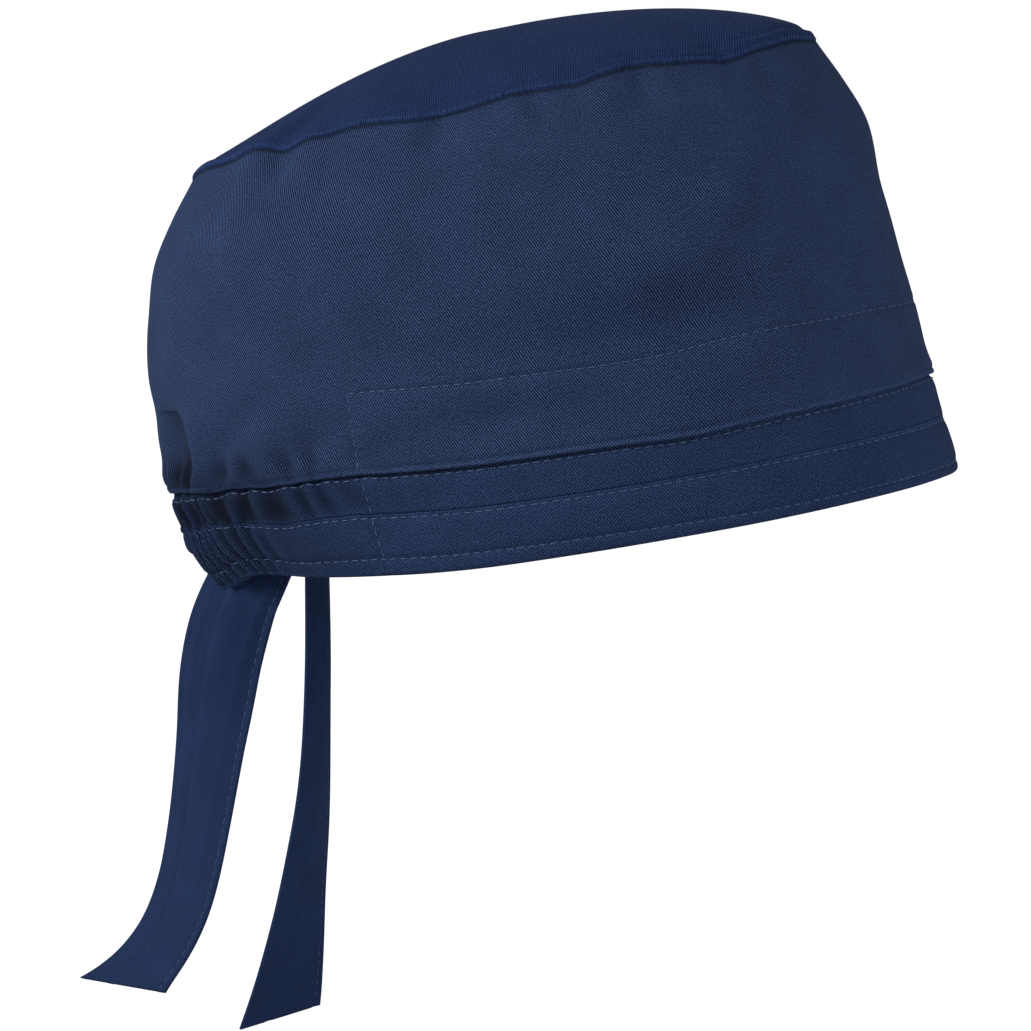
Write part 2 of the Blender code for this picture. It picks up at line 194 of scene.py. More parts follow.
# A ring of the cap: rise is a share of its zone's height, front and back are shares of half the
# opening's length, side of half its width, and the lifts shares of the wall's height.
Section = namedtuple("Section", "zone rise front side back front_lift back_lift")
SECTIONS = (
    Section("channel", 0.00, 1.010, 1.000, 0.985, 0.022, 0.112),
    Section("strip", 0.00, 0.993, 0.996, 1.040, 0.021, 0.020),
    Section("wall", 0.00, 0.982, 0.994, 1.080, 0.025, 0.040),
    Section("wall", 0.11, 0.972, 0.991, 1.090, 0.019, 0.042),
    Section("wall", 0.23, 0.962, 0.987, 1.078, 0.014, 0.035),
    Section("wall", 0.39, 0.950, 0.976, 1.074, 0.016, 0.000),
    Section("wall", 0.58, 0.933, 0.958, 1.050, 0.021, -0.032),
    Section("wall", 0.76, 0.919, 0.917, 1.010, 0.026, -0.053),
    Section("wall", 0.89, 0.864, 0.857, 0.940, 0.032, -0.063),
    Section("wall", 1.00, 0.815, 0.786, 0.870, 0.035, -0.066),
)

# Dents and swellings, the same on both sides. turn is the way round from brow to nape in degrees,
# level a share of the wall's height over its foot, width in degrees, height a share of the wall's,
# lean in degrees for a whole wall height, and depth a share of FOLD_DEPTH.
Fold = namedtuple("Fold", "turn level width height lean depth")
FOLDS = (
    Fold(155, 0.13, 7, 0.12, -20, -0.90),
    Fold(143, 0.14, 6, 0.12, -30, 0.35),
    Fold(180, 0.08, 6, 0.08, 0, -0.25),
    Fold(124, 0.95, 5, 0.07, 20, -0.30),
    Fold(115, 0.87, 7, 0.10, 10, -0.25),
    Fold(103, 0.82, 7, 0.14, -10, 0.22),
    Fold(93, 0.92, 4, 0.12, -20, -0.42),
    Fold(81, 0.90, 5, 0.10, -20, 0.20),
    Fold(78, 0.97, 2.5, 0.06, 10, -0.25),
    Fold(66, 0.93, 4, 0.08, 0, 0.14),
    Fold(58, 0.95, 3, 0.06, 0, -0.18),
    Fold(48, 0.90, 6, 0.09, -15, -0.22),
    Fold(30, 0.93, 4, 0.08, 0, -0.20),
    Fold(72, 0.66, 20, 0.15, 60, -0.22),
    Fold(112, 0.50, 26, 0.22, 20, 0.25),
    Fold(60, 0.32, 22, 0.08, 60, -0.30),
    Fold(52, 0.47, 20, 0.09, 40, 0.22),
    Fold(28, 0.40, 16, 0.14, 0, -0.15),
    Fold(118, 0.08, 9, 0.09, -70, -0.30),
    Fold(104, 0.16, 7, 0.10, -60, 0.16),
    Fold(88, 0.12, 9, 0.05, -60, -0.12),
)

# Upright gathers toward the nape. level and height are shares of the whole band, hem to fold,
# reach is how far from the nape they run in degrees, ribs how many would fill a whole turn, and
# depth is a share of GATHER_DEPTH.
Gather = namedtuple("Gather", "level height reach ribs depth")
GATHERS = (
    Gather(0.15, 0.42, 42, 26, 1.00),
    Gather(0.75, 0.35, 66, 17, 0.75),
    Gather(1.15, 0.30, 58, 13, 0.60),
)

# Where the top seam is drawn up or down by its stitches, in the folds' degrees, with the rise a
# share of SEAM_RIPPLE.
Pucker = namedtuple("Pucker", "turn width rise")
PUCKERS = (
    Pucker(15, 8, 0.40),
    Pucker(38, 6, -0.80),
    Pucker(60, 9, 0.90),
    Pucker(81, 5, 0.30),
    Pucker(94, 8, -0.95),
    Pucker(123, 4, -1.00),
    Pucker(113, 2.5, -0.35),
    Pucker(70, 2.5, -0.30),
    Pucker(130, 5, 0.60),
    Pucker(150, 7, 0.35),
    Pucker(168, 6, -0.40),
)

# Fine ribs where the ties draw the band in at the nape: level and height as in the gathers, start
# and end of their fade in degrees from the nape, wave the ribs' spacing, lean how far they run
# sideways over the band's height and depth their height in metres, and shade the share of light
# lost between them.
Rib = namedtuple("Rib", "level height start end wave lean depth shade")
RIBS = (
    Rib(0.25, 0.42, 38, 60, 0.0056, 0.0110, 0.00140, 0.60),
    Rib(0.76, 0.20, 40, 100, 0.0095, 0.0060, 0.00080, 0.45),
    Rib(1.14, 0.14, 40, 92, 0.0130, 0.0040, 0.00100, 0.45),
)

# Lighter folds that the CAD model leaves out, in the same terms as its own.
LIGHT_FOLDS = (
    Fold(59, 0.47, 19, 0.10, 40, 0.42),
    Fold(66, 0.28, 19, 0.09, 60, -0.42),
    Fold(94, 0.95, 2.2, 0.06, -10, -0.35),
    Fold(92, 0.80, 3.0, 0.09, -20, -0.20),
    Fold(124, 0.96, 2.0, 0.05, 20, -0.30),
    Fold(112, 0.93, 2.6, 0.06, 15, -0.22),
    Fold(78, 0.95, 1.7, 0.06, 10, -0.28),
    Fold(59, 0.95, 1.8, 0.05, 0, -0.28),
    Fold(39, 0.96, 2.2, 0.05, 0, -0.25),
    Fold(120, 0.20, 5, 0.10, -60, 0.14),
    Fold(112, 0.13, 4, 0.09, -60, -0.18),
    Fold(130, 0.16, 4, 0.10, -60, -0.18),
    Fold(121, 0.04, 13, 0.06, -40, -0.28),
    Fold(149, 0.02, 3, 0.05, -30, 0.30),
)

# How far the sewing draws each line up as it goes round, in shares of ROW_DRAW: the hem's stitches,
# the channel's top edge, the wall's foot and the brow row. turn is in degrees from the brow.
ROW_DRAW = 0.0040
RIB_LIFT = 0.0005
Draw = namedtuple("Draw", "turn hem middle foot brow")
DRAWS = (
    Draw(0, -0.50, 0.00, 0.60, -0.05),
    Draw(32, -0.50, 0.00, 0.33, 0.05),
    Draw(54, -0.50, 0.00, 0.20, 0.05),
    Draw(64, -0.38, 0.00, 0.08, -0.25),
    Draw(74, -0.25, 0.03, 0.32, -0.28),
    Draw(84, -0.15, 0.10, 0.46, -0.10),
    Draw(94, -0.05, 0.20, 0.57, 0.05),
    Draw(104, 0.08, 0.50, 0.82, 0.35),
    Draw(111, 0.22, 0.75, 0.97, 0.50),
    Draw(118, 0.24, 0.82, 0.92, 0.50),
    Draw(125, 0.22, 0.70, 0.75, 0.40),
    Draw(134, 0.65, 1.05, 0.68, 0.20),
    Draw(141, 0.75, 1.15, 0.45, 0.00),
    Draw(150, 0.50, 1.10, 0.30, 0.00),
    Draw(165, 0.10, 0.70, 0.20, 0.00),
    Draw(180, 0.00, 0.50, 0.20, 0.00),
)
FREE_LEVEL = FOLD_LEVEL + 0.60 * WALL_HEIGHT

# The rows of stitches that pull the cloth in. level is in metres over the hem, and reach is how far
# round from the brow the row runs, in degrees.
Row = namedtuple("Row", "level reach")
BROW_ROW = Row(FOLD_LEVEL + 0.23 * WALL_HEIGHT, 109)
FOOT_ROW = Row(FOLD_LEVEL - FOLD_LAP - 0.0011, 180)
MIDDLE_ROW = Row(CHANNEL_HEIGHT - 0.0010, 180)
HEM_ROW = Row(0.0042, 180)
ROWS = (BROW_ROW, FOOT_ROW, MIDDLE_ROW, HEM_ROW)
STITCH_GROOVE = 0.00045
GROOVE_WIDTH = 0.0009
EDGE_WELT = 0.0012
EDGE_GROOVE = 0.00025
EDGE_GROOVE_WIDTH = 0.0006
ROW_END = 0.6
UPRIGHT_EASE = 0.002
STITCH_PULL = 0.35
STITCH_PULLS = 95

# The loose cloth's own unevenness, and how much of it is left where sewing holds it.
SLACK_DEPTH = 0.00042
SLACK_WAVES = 18
SLACK_LENGTHS = (0.025, 0.080)
SLACK_HELD = 0.35
SLACK_FOOT_RUN = 0.012
SLACK_SEAM_RUN = 0.010
SLACK_AT_SEAM = 0.25

# The deep fold where the wall's fullness tucks in beside the nape: a half oval, sharp at its edge.
# Turns, bend and edge are in degrees, share and height of the wall's height.
TUCK_TURN = 143
TUCK_END = 166
TUCK_SHARE = 0.115
TUCK_HEIGHT = 0.135
TUCK_DEPTH = 0.0050
# TUCK_SHADE is the painted shade in the tuck's hollow.
TUCK_SHADE = 0.74
TUCK_FADE = 0.9
TUCK_BEND = 7
TUCK_EDGE = 0.45
TUCK_SLOPE = 1.2

# Toward the nape the band lies back under the full wall and holds more shade, the strip most.
NAPE_SHADE = 0.34
NAPE_SHADE_TURN = 114
NAPE_EASE = 4
STRIP_SHADE = 0.12
STRIP_BACK = 0.0010
STRIP_EASE = 0.0012
NAPE_SHADE_TOP = 0.014
NAPE_SHADE_RUN = 0.018
MOST_SHADE = 0.85

# A thin line of painted shade lies along the top seam, just under the panel's rim, and pressed
# edges carry a painted highlight, a little lighter than the flat cloth.
SEAM_SHADE = 0.65
SEAM_SHADE_WIDTH = 0.0006
SEAM_SHADE_DROP = 0.0004
EDGE_LIGHT = 0.35
EDGE_WIDTH = 0.0007


def smooth_curve(knots, values, at):
    """A smooth curve through (knot, value) pairs: cubic pieces whose slopes are the local averages."""
    knots = np.asarray(knots, float)
    values = np.asarray(values, float)
    at = np.clip(at, knots[0], knots[-1])
    slopes = np.gradient(values, knots)
    piece = np.clip(np.searchsorted(knots, at, side="right") - 1, 0, len(knots) - 2)
    step = knots[piece + 1] - knots[piece]
    t = (at - knots[piece]) / step
    return (
        (2 * t**3 - 3 * t**2 + 1) * values[piece]
        + (t**3 - 2 * t**2 + t) * step * slopes[piece]
        + (3 * t**2 - 2 * t**3) * values[piece + 1]
        + (t**3 - t**2) * step * slopes[piece + 1]
    )


def column_angles():
    """The way round to each column, from the nape round to the nape, crowded toward it."""
    even = np.linspace(-math.pi, math.pi, COLUMNS, endpoint=False)
    return even + BACK_CROWDING * np.sin(even)


def from_nape(angle):
    """How far round a column is from the nape, in radians, on either side."""
    return np.abs(np.mod(angle, 2 * math.pi) - math.pi)


def mouth_turn():
    """How far round from the nape each tie leaves the channel."""
    return math.asin((TIE_APART / OPENING_WIDTH) ** (RING_SQUARENESS / 2))


def slack(angle, level):
    """The loose cloth's own unevenness: SLACK_WAVES soft waves of SLACK_LENGTHS, summed."""
    pick = np.random.default_rng(11)
    total = np.zeros(np.broadcast(angle, level).shape)
    for wave in range(SLACK_WAVES):
        heading = pick.uniform(0, math.pi)
        number = 2 * math.pi / pick.uniform(*SLACK_LENGTHS)
        across = np.round(number * math.cos(heading) * MEAN_REACH)
        total += np.cos(across * angle + number * math.sin(heading) * level + pick.uniform(0, 6.3))
    return SLACK_DEPTH * total / math.sqrt(SLACK_WAVES / 2)


def drawn_up(angle, level):
    """How far a level is drawn up at an angle: the draws at four lines, with straight runs between
    them in the level and a smooth curve through DRAWS in the turn, and a lift at the strip's ribs."""
    turn = 180 - np.degrees(from_nape(angle))
    lines = [HEM_ROW.level, MIDDLE_ROW.level, FOLD_LEVEL - FOLD_LAP, BROW_ROW.level]
    stops = [0.0] + lines + [FREE_LEVEL]
    turns = [draw.turn for draw in DRAWS]
    total = 0.0
    for number, name in enumerate(("hem", "middle", "foot", "brow")):
        peak = [float(stop == number + 1) for stop in range(len(stops))]
        round_ = smooth_curve(turns, [getattr(draw, name) for draw in DRAWS], turn)
        total = total + ROW_DRAW * np.interp(level, stops, peak) * round_
    strength, wave = rib_wave(RIBS[1], angle, level)
    return total + RIB_LIFT * strength * wave


def in_tuck(angle, level, ease):
    """How far into the tuck a point is, 0 to 1: steep at the near edge, then easing to the nape as
    (1 - share)**ease."""
    turn = 180 - np.degrees(from_nape(angle))
    oval = np.clip(1 - (((level - FOLD_LEVEL) / WALL_HEIGHT - TUCK_SHARE) / TUCK_HEIGHT) ** 2, 0, 1)
    inside = 1 / (1 + np.exp(-(turn - TUCK_TURN - TUCK_BEND * (1 - oval**0.5)) / TUCK_EDGE))
    return oval**0.5 * inside * np.clip((TUCK_END - turn) / (TUCK_END - TUCK_TURN), 0, 1) ** ease


def near_nape(angle):
    """How near to the nape's gathers a point is, 0 to 1."""
    return 1 / (1 + np.exp((NAPE_SHADE_TURN - 180 + np.degrees(from_nape(angle))) / NAPE_EASE))


def on_strip(angle, level):
    """How far back on the strip toward the nape a point is, 0 to 1."""
    up = np.clip((level - CHANNEL_HEIGHT) / STRIP_EASE, 0, 1)
    down = np.clip((FOLD_LEVEL - level) / STRIP_EASE, 0, 1)
    return up * down * near_nape(angle)


def rib_wave(rib, angle, level):
    """How strong a set of ribs is at a point, and its wave there, from -1 to 1. Two slow waves
    round the nape make the ribs' spacing uneven."""
    nape = from_nape(angle)
    share = level / FOLD_LEVEL
    width = (rib.end - rib.start) / 8
    fade = 1 / (1 + np.exp((np.degrees(nape) - (rib.start + rib.end) / 2) / width))
    across = nape * MEAN_REACH + rib.lean * share
    phase = 2 * math.pi / rib.wave * across + 1.7 * np.sin(9 * nape + 3 * share) + 1.1 * np.sin(23 * nape)
    return fade * np.exp(-(((share - rib.level) / rib.height) ** 2)), np.cos(phase)


def shade(angle, level):
    """The share of light that a point loses between ribs, in the tuck, on the band's back and in a
    thin line under the top seam."""
    on_band = np.clip((FOLD_LEVEL + NAPE_SHADE_TOP - level) / NAPE_SHADE_RUN, 0, 1)
    lost = TUCK_SHADE * in_tuck(angle, level, TUCK_FADE) + NAPE_SHADE * on_band * near_nape(angle)
    lost = lost + STRIP_SHADE * on_strip(angle, level)
    under = (TOP_LEVEL - SEAM_GAP - SEAM_SHADE_DROP - level) / SEAM_SHADE_WIDTH
    lost = lost + SEAM_SHADE * np.exp(-(under**2))
    for rib in RIBS:
        strength, wave = rib_wave(rib, angle, level)
        lost = lost + rib.shade * strength * (0.5 - 0.5 * wave)
    return np.clip(lost, 0, MOST_SHADE)


def relief(angle, level):
    """How far the cloth stands out of its smooth ring: folds and gathers as in the CAD model, then
    the lighter folds, the nape's ribs, the slack of loose cloth, the tuck and the stitches' grooves."""
    nape = from_nape(angle)
    turn = 180 - np.degrees(nape)
    wall_share = (level - FOLD_LEVEL) / WALL_HEIGHT
    band_share = level / FOLD_LEVEL
    out = np.zeros(np.broadcast(angle, level).shape)
    for fold in FOLDS + LIGHT_FOLDS:
        up = (wall_share - fold.level) / fold.height
        round_ = (turn - fold.turn - fold.lean * (wall_share - fold.level)) / fold.width
        out = out + FOLD_DEPTH * fold.depth * np.exp(-(up**2) - round_**2)
    for gather in GATHERS:
        up = (band_share - gather.level) / gather.height
        round_ = np.clip(np.degrees(nape) / gather.reach, 0, 1)
        fade = np.exp(-(up**2)) * np.cos(round_ * math.pi / 2) ** 0.7
        phase = gather.ribs * nape + 0.8 * np.sin(5 * nape + gather.ribs)
        out = out + GATHER_DEPTH * gather.depth * fade * np.cos(phase)
    for rib in RIBS:
        strength, wave = rib_wave(rib, angle, level)
        out = out + rib.depth * strength * wave
    free = np.clip((level - FOLD_LEVEL) / SLACK_FOOT_RUN, 0, 1)
    free = free * np.clip((TOP_LEVEL - level) / SLACK_SEAM_RUN, SLACK_AT_SEAM, 1)
    out = out + slack(angle, level) * (SLACK_HELD + (1 - SLACK_HELD) * free)
    out = out - TUCK_DEPTH * in_tuck(angle, level, TUCK_SLOPE) - STRIP_BACK * on_strip(angle, level)
    grooves = sum(
        np.exp(-(((level - row.level) / GROOVE_WIDTH) ** 2)) / (1 + np.exp((turn - row.reach) / ROW_END))
        for row in ROWS
    )
    side = (turn - BROW_ROW.reach) / math.degrees(GROOVE_WIDTH / MEAN_REACH)
    below = np.clip((BROW_ROW.level - level) / UPRIGHT_EASE, 0, 1)
    grooves = grooves * (1 + STITCH_PULL * np.cos(STITCH_PULLS * angle)) + below * np.exp(-(side**2))
    return out - STITCH_GROOVE * grooves


def seam_ripple(angle, level):
    """How far the top seam rises and dips where its stitches draw the cloth up."""
    near_seam = np.clip((level - FOLD_LEVEL) / WALL_HEIGHT, 0, 1) ** SEAM_FADE
    turn = 180 - np.degrees(from_nape(angle))
    wave = sum(p.rise * np.exp(-(((turn - p.turn) / p.width) ** 2)) for p in PUCKERS)
    return SEAM_RIPPLE * near_seam * wave


def mouth_droop(angle, level):
    """How far the hem sags where a tie leaves the channel."""
    off = (from_nape(angle) - mouth_turn() + MOUTH_SHIFT) / MOUTH_SPREAD
    return MOUTH_DROP * np.exp(-(off**2)) * np.clip(1 - level / FOLD_LEVEL, 0, 1) ** 2


def cap_point(angle, level, out=0.0, detail=1.0):
    """Points of the cap's outer face, upright: a squared oval at each level, lifted at brow and nape.

    Its half length and half width at an angle are reach * |cos|**(2/n) and breadth * |sin|**(2/n)
    with n the squareness, and the point is pushed along the oval's outward direction by the relief
    and by out. detail is the share of the folds, gathers and puckers that the points take."""
    knots = [ZONE_FLOOR[s.zone] + s.rise * ZONE_HEIGHT[s.zone] for s in SECTIONS]
    names = ("front", "side", "back", "front_lift", "back_lift")
    at = level + drawn_up(angle, level)
    ring = {n: smooth_curve(knots, [getattr(s, n) for s in SECTIONS], at) for n in names}
    cosine, sine = np.cos(angle), np.sin(angle)
    power = 2 / RING_SQUARENESS
    along = np.sign(cosine) * np.abs(cosine) ** power
    across = np.sign(sine) * np.abs(sine) ** power
    ahead = cosine >= 0
    reach = np.where(ahead, ring["front"], ring["back"]) * OPENING_LENGTH / 2
    breadth = ring["side"] * OPENING_WIDTH / 2
    lift = np.where(ahead, ring["front_lift"], ring["back_lift"]) * WALL_HEIGHT
    facing_x = np.sign(along) * np.abs(along) ** (RING_SQUARENESS - 1) / reach
    facing_y = np.sign(across) * np.abs(across) ** (RING_SQUARENESS - 1) / breadth
    size = np.hypot(facing_x, facing_y)
    push = detail * relief(angle, level) + out
    height = at + lift * along**2 - mouth_droop(angle, level) + detail * seam_ripple(angle, level)
    x = reach * along + push * facing_x / size
    y = breadth * across + push * facing_y / size
    return np.stack([x, y, height], axis=-1)


def tilted(points):
    """Upright cap points, tilted back about Y as the cap is worn."""
    turned = points.copy()
    turned[..., 0] = points[..., 0] * math.cos(WORN_TILT) - points[..., 2] * math.sin(WORN_TILT)
    turned[..., 2] = points[..., 0] * math.sin(WORN_TILT) + points[..., 2] * math.cos(WORN_TILT)
    return turned


def round_grid(levels, out):
    """A grid of cap points, a row for each level and a column for each way round."""
    levels, out, angles = np.broadcast_arrays(
        np.asarray(levels, float)[:, None], np.asarray(out, float)[:, None], column_angles()[None, :]
    )
    return cap_point(angles, levels, out)


def grid_normals(grid):
    """Outward directions of a grid that runs round the cap in its columns and up in its rows."""
    round_ = np.roll(grid, -1, axis=1) - np.roll(grid, 1, axis=1)
    normals = np.cross(round_, np.gradient(grid, axis=0))
    return normals / np.linalg.norm(normals, axis=-1, keepdims=True)


def rolled_rows(first, last, steps):
    """Rows that turn from one row to another round a half circle that bulges downward."""
    middle, half = (first + last) / 2, (first - last) / 2
    drop = np.zeros_like(half)
    drop[..., 2] = -np.linalg.norm(half, axis=-1)
    turns = np.linspace(0, math.pi, steps + 2)[1:-1]
    return np.stack([middle + half * math.cos(t) + drop * math.sin(t) for t in turns])


def cloth_mesh(name, rows, material, join_rows, tips=None, shades=None):
    """One mesh from a grid of upright cap rows that run all the way round, tilted as it is worn.

    Its UV map is in metres, so that the weave keeps its size: along one middle row for the columns,
    and along the rows' mean spacing for the rows. tips are two points that close the grid's first
    and last rows with a fan of triangles each, and the UV map is then seen from above. shades are
    the first rows' shares of lost light."""
    count, columns = rows.shape[:2]
    row = np.arange(count if join_rows else count - 1)[:, None]
    column = np.arange(columns)[None, :]
    above, beside = (row + 1) % count, (column + 1) % columns
    corners = [row * columns + column, row * columns + beside]
    corners += [above * columns + beside, above * columns + column]
    faces = np.stack(np.broadcast_arrays(*corners), axis=-1).reshape(-1, 4)
    middle = rows[count // 3]
    steps = np.linalg.norm(np.roll(middle, -1, axis=0) - middle, axis=-1)
    across = np.concatenate([[0], np.cumsum(steps)])
    spacing = np.linalg.norm(np.roll(rows, -1, axis=0) - rows, axis=-1).mean(axis=1)
    upward = np.concatenate([[0], np.cumsum(spacing)])[: row.shape[0] + 1]
    us = np.stack([across[:-1], across[1:], across[1:], across[:-1]], axis=-1)[None]
    vs = np.stack([upward[:-1], upward[:-1], upward[1:], upward[1:]], axis=-1)[:, None]
    uv = np.stack(np.broadcast_arrays(us, vs), axis=-1).reshape(-1, 2)
    points = rows.reshape(-1, 3)
    if tips is None:
        return mesh_object(name, tilted(points), faces.tolist(), uv, material, shades)
    first, last, total = np.arange(columns), np.arange(columns) + (count - 1) * columns, len(points)
    under = np.stack([np.roll(first, -1), first, np.full(columns, total)], axis=-1)
    over = np.stack([last, np.roll(last, -1), np.full(columns, total + 1)], axis=-1)
    points = np.concatenate([points, tips])
    uv = points[np.concatenate([faces.ravel(), under.ravel(), over.ravel()])][:, :2]
    faces = faces.tolist() + under.tolist() + over.tolist()
    return mesh_object(name, tilted(points), faces, uv, material, shades)


def mesh_object(name, points, faces, uv, material, shades=None):
    """One smooth-shaded object from arrays of points, of faces' corners and of the corners' UVs."""
    mesh = bpy.data.meshes.new(name)
    mesh.from_pydata(points.tolist(), [], faces)
    if shades is not None:
        lost = np.zeros(len(points), np.float32)
        lost[: shades.size] = shades.ravel()
        mesh.attributes.new("shade", "FLOAT", "POINT").data.foreach_set("value", lost)
    layer = mesh.uv_layers.new(name="cloth")
    layer.data.foreach_set("uv", uv.astype(np.float32).ravel())
    mesh.shade_smooth()
    mesh.materials.append(material)
    obj = bpy.data.objects.new(name, mesh)
    scene.collection.objects.link(obj)
    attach(obj, "root")
    return obj


def combined(tree, operation, *inputs):
    """The output of a maths node over values or other outputs."""
    return add_node(tree, "ShaderNodeMath", dict(enumerate(inputs)), operation=operation).outputs[0]


def stretched(tree, value, low, high, least, most):
    """A value whose span from low to high is stretched to run from least to most."""
    span = {"Value": value, "From Min": low, "From Max": high, "To Min": least, "To Max": most}
    return add_node(tree, "ShaderNodeMapRange", span, clamp=False).outputs[0]


TWILL_PITCH = 0.00065
TWILL_LEAN = math.radians(61)
TWILL_WANDER = 0.8
WANDER_SCALE = 90.0
GRAIN_SCALE = 1900.0
MOTTLE_SCALE = 75.0
THREAD_SCALE = 1400.0
NAP_DEPTH = 0.00018
SHEEN_TINT = (0.45, 0.62, 1.0, 1.0)


def twill(name, colour, line_depth=0.95, speck_depth=0.52, lean=TWILL_LEAN):
    """Matt polycotton twill: fine diagonal lines, specks of single threads, soft mottling and a
    little sheen. The lines run down toward the brow on the wearer's right. A piece's shade
    attribute takes its share of light away."""
    material = bpy.data.materials.new(name)
    material.use_nodes = True
    tree = material.node_tree
    shader = tree.nodes["Principled BSDF"]
    place = add_node(tree, "ShaderNodeUVMap", uv_map="cloth").outputs[0]
    split = add_node(tree, "ShaderNodeSeparateXYZ", {0: place})
    wander = add_node(tree, "ShaderNodeTexNoise", {"Vector": place, "Scale": WANDER_SCALE, "Detail": 2.0})
    grain = add_node(tree, "ShaderNodeTexNoise", {"Vector": place, "Scale": GRAIN_SCALE, "Detail": 1.0})
    mottle = add_node(tree, "ShaderNodeTexNoise", {"Vector": place, "Scale": MOTTLE_SCALE, "Detail": 3.0})
    sideways = combined(tree, "MULTIPLY", split.outputs[0], math.sin(lean) / TWILL_PITCH)
    upward = combined(tree, "MULTIPLY", split.outputs[1], math.cos(lean) / TWILL_PITCH)
    count = combined(tree, "ADD", sideways, upward)
    count = combined(tree, "MULTIPLY_ADD", wander.outputs["Fac"], TWILL_WANDER, count)
    wave = combined(tree, "SINE", combined(tree, "MULTIPLY", count, 2 * math.pi))
    line = stretched(tree, wave, -1.0, 1.0, 1 - line_depth, 1 + line_depth)
    speck = stretched(tree, grain.outputs["Fac"], 0.25, 0.75, 1 - speck_depth, 1 + speck_depth)
    cloud = stretched(tree, mottle.outputs["Fac"], 0.3, 0.7, 0.92, 1.08)
    # Painted shade and painted highlights: the shade attribute darkens or lightens the base colour.
    lost = add_node(tree, "ShaderNodeAttribute", attribute_name="shade").outputs["Fac"]
    tone = combined(tree, "MULTIPLY", line, speck)
    tone = combined(tree, "MULTIPLY", tone, cloud)
    tone = combined(tree, "MULTIPLY", tone, combined(tree, "SUBTRACT", 1.0, lost))
    dyed = add_node(tree, "ShaderNodeVectorMath", {0: colour, "Scale": tone}, operation="SCALE")
    tree.links.new(dyed.outputs[0], shader.inputs["Base Color"])
    height = combined(tree, "MULTIPLY_ADD", wave, 0.6, grain.outputs["Fac"])
    bump = add_node(tree, "ShaderNodeBump", {"Strength": 0.5, "Distance": NAP_DEPTH, "Height": height})
    tree.links.new(bump.outputs[0], shader.inputs["Normal"])
    shader.inputs["Roughness"].default_value = 0.85
    shader.inputs["Specular IOR Level"].default_value = 0.08
    shader.inputs["Sheen Weight"].default_value = 0.03
    shader.inputs["Sheen Roughness"].default_value = 0.45
    shader.inputs["Sheen Tint"].default_value = SHEEN_TINT
    return material


def spaced(stops, counts):
    """Levels from the first stop to the last, with a count of even steps between each two."""
    parts = [np.linspace(a, b, n, endpoint=False) for a, b, n in zip(stops, stops[1:], counts)]
    return np.concatenate(parts + [[stops[-1]]])


WALL_CLEAR = FOLD_LEVEL + 2 * SEAM_GAP + WALL_CLOTH
FOOT_SINK = 0.0008
NAPE_OPEN_TURN = 40
NAPE_STAND = 0.1
NAPE_LAP = 0.25
ROW_MARGIN = 0.002
TOP_MARGIN = 0.003


def nape_open(angle):
    """How free of the nape's gathers a column is: 0 at the nape, half at NAPE_OPEN_TURN, then 1."""
    return 1 / (1 + np.exp((NAPE_OPEN_TURN - np.degrees(from_nape(angle))) / NAPE_EASE))


def foot_stand(angle, level):
    """How far the wall stands out over the strip up to FOLD_FADE: (cloth + gap - sink) at the foot,
    times (1 - share)**2 above it, and less at the nape."""
    away = np.clip((level - WALL_CLEAR) / FOLD_FADE, 0, 1)
    at_nape = NAPE_STAND + (1 - NAPE_STAND) * nape_open(angle)
    return (WALL_CLOTH + SEAM_GAP - FOOT_SINK) * (1 - away) ** 2 * at_nape


def make_side_wall(material):
    """The wall from its rolled foot to the top seam. The foot stands out over the strip and laps
    it, both less toward the nape. A shallow groove sets off its rolled edge."""
    brow, edge = BROW_ROW.level - FOLD_LEVEL, WALL_HEIGHT - SEAM_GAP
    stops = [0.0, WALL_CLEAR - FOLD_LEVEL, FOLD_FADE]
    stops += [brow - ROW_MARGIN, brow + ROW_MARGIN, edge - TOP_MARGIN, edge]
    levels = spaced(stops, [10, 14, 14, 9, 71, 10])[:, None] + FOLD_LEVEL
    angles = column_angles()[None, :]
    drop = (FOLD_LAP - WALL_CLOTH / 2) * (NAPE_LAP + (1 - NAPE_LAP) * nape_open(angles))
    top = WALL_CLEAR + FOLD_FADE
    levels = levels - drop * np.clip((top - levels) / (top - FOLD_LEVEL), 0, 1)
    stand = foot_stand(angles, levels)
    over_welt = levels - levels[:1] - EDGE_WELT
    stand = stand - EDGE_GROOVE * np.exp(-((over_welt / EDGE_GROOVE_WIDTH) ** 2))
    angles = np.broadcast_to(angles, levels.shape)
    outer = cap_point(angles, levels, stand)
    # Painted shade from shade(), less a painted highlight along the rolled foot's edge.
    shades = shade(angles, levels) - EDGE_LIGHT * np.exp(-(((levels - levels[:1]) / EDGE_WIDTH) ** 2))
    inner = (outer - WALL_CLOTH * grid_normals(outer))[::8]
    roll = rolled_rows(inner[0], outer[0], 4)
    rows = np.concatenate([outer, inner[::-1], roll])
    return cloth_mesh("wall_cloth", rows, material, True, shades=shades)


# Stitches are small separate threads, lighter than the cloth, that lie along their grooves.
STITCH_PITCH = 0.0030
STITCH_LENGTH = 0.0021
STITCH_WIDTH = 0.00037
STITCH_LIFT = 0.00016
STITCH_SIDES = 6
STITCH_FLAT = 0.8
UPRIGHT_STEPS = 60
ROW_STEPS = 2400


def cap_path(angle, level, out=0.0):
    """Points along a path on the cap's face, and the face's outward directions there."""
    nudge = 1e-4
    here = tilted(cap_point(angle, level, out))
    along = tilted(cap_point(angle + nudge, level, out)) - here
    up = tilted(cap_point(angle, level + nudge, out)) - here
    normals = np.cross(along, up)
    return here, normals / np.linalg.norm(normals, axis=-1, keepdims=True)


